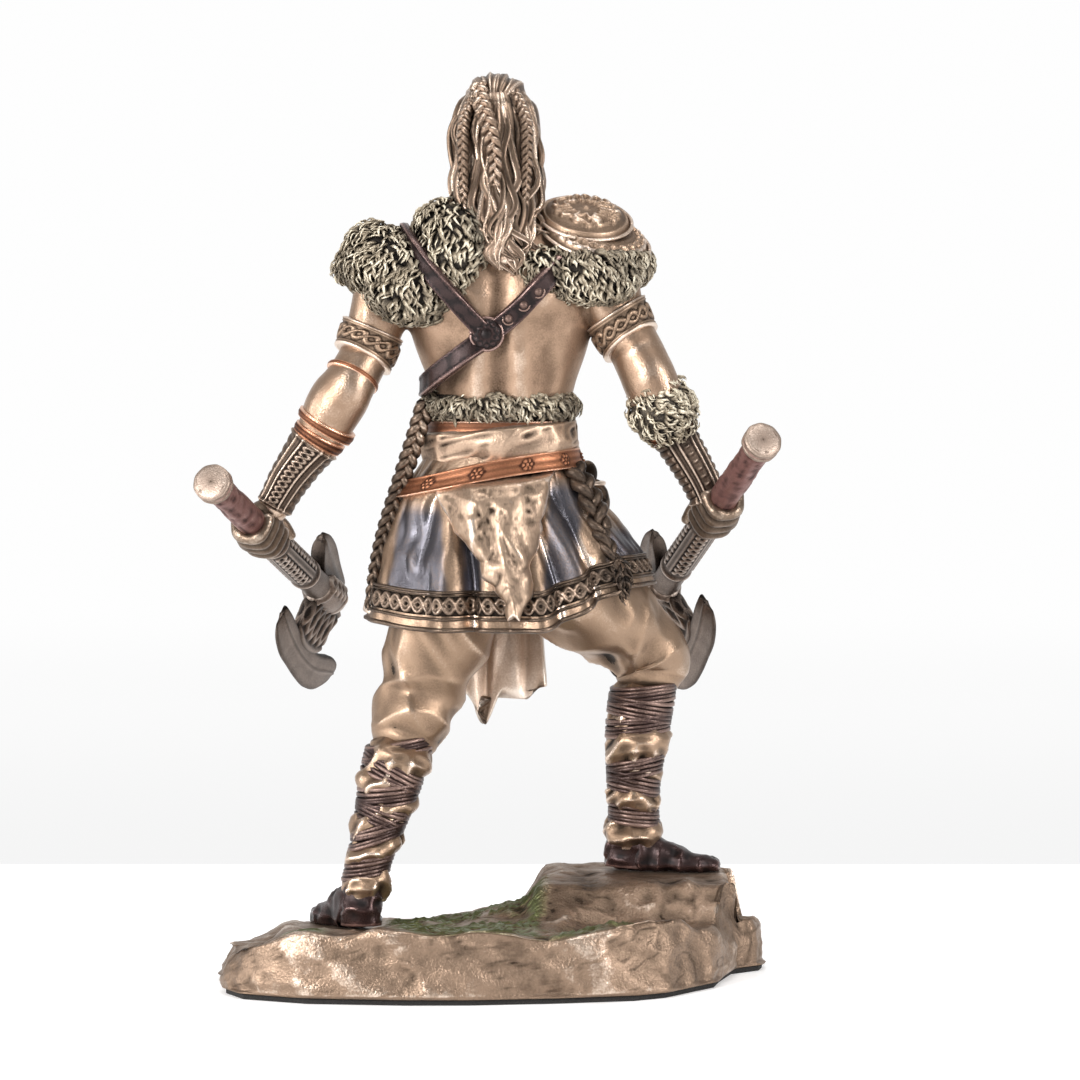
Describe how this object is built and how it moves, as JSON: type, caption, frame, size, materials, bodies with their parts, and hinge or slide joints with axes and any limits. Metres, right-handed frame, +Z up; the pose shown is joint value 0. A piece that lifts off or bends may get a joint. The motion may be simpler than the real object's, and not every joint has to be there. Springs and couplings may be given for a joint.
{
  "type": "viking warrior statue",
  "caption": "Bronze-look resin figurine of a bearded viking warrior with an axe in each hand, standing on a rock with one foot raised.",
  "frame": {"origin": "middle of the underside of the felt pad", "axes": "+Z up through the head, +Y the way the warrior faces, +X towards the warrior's raised foot"},
  "size_m": [0.1421, 0.1136, 0.2251],
  "materials": {
    "bronze_figure": "satin",
    "bronze_rock": "satin",
    "felt": "matte"
  },
  "bodies": {
    "root": {"viking_figure": "bronze_figure", "rock_base": "bronze_rock", "felt_pad": "felt"}
  },
  "joints": []
}
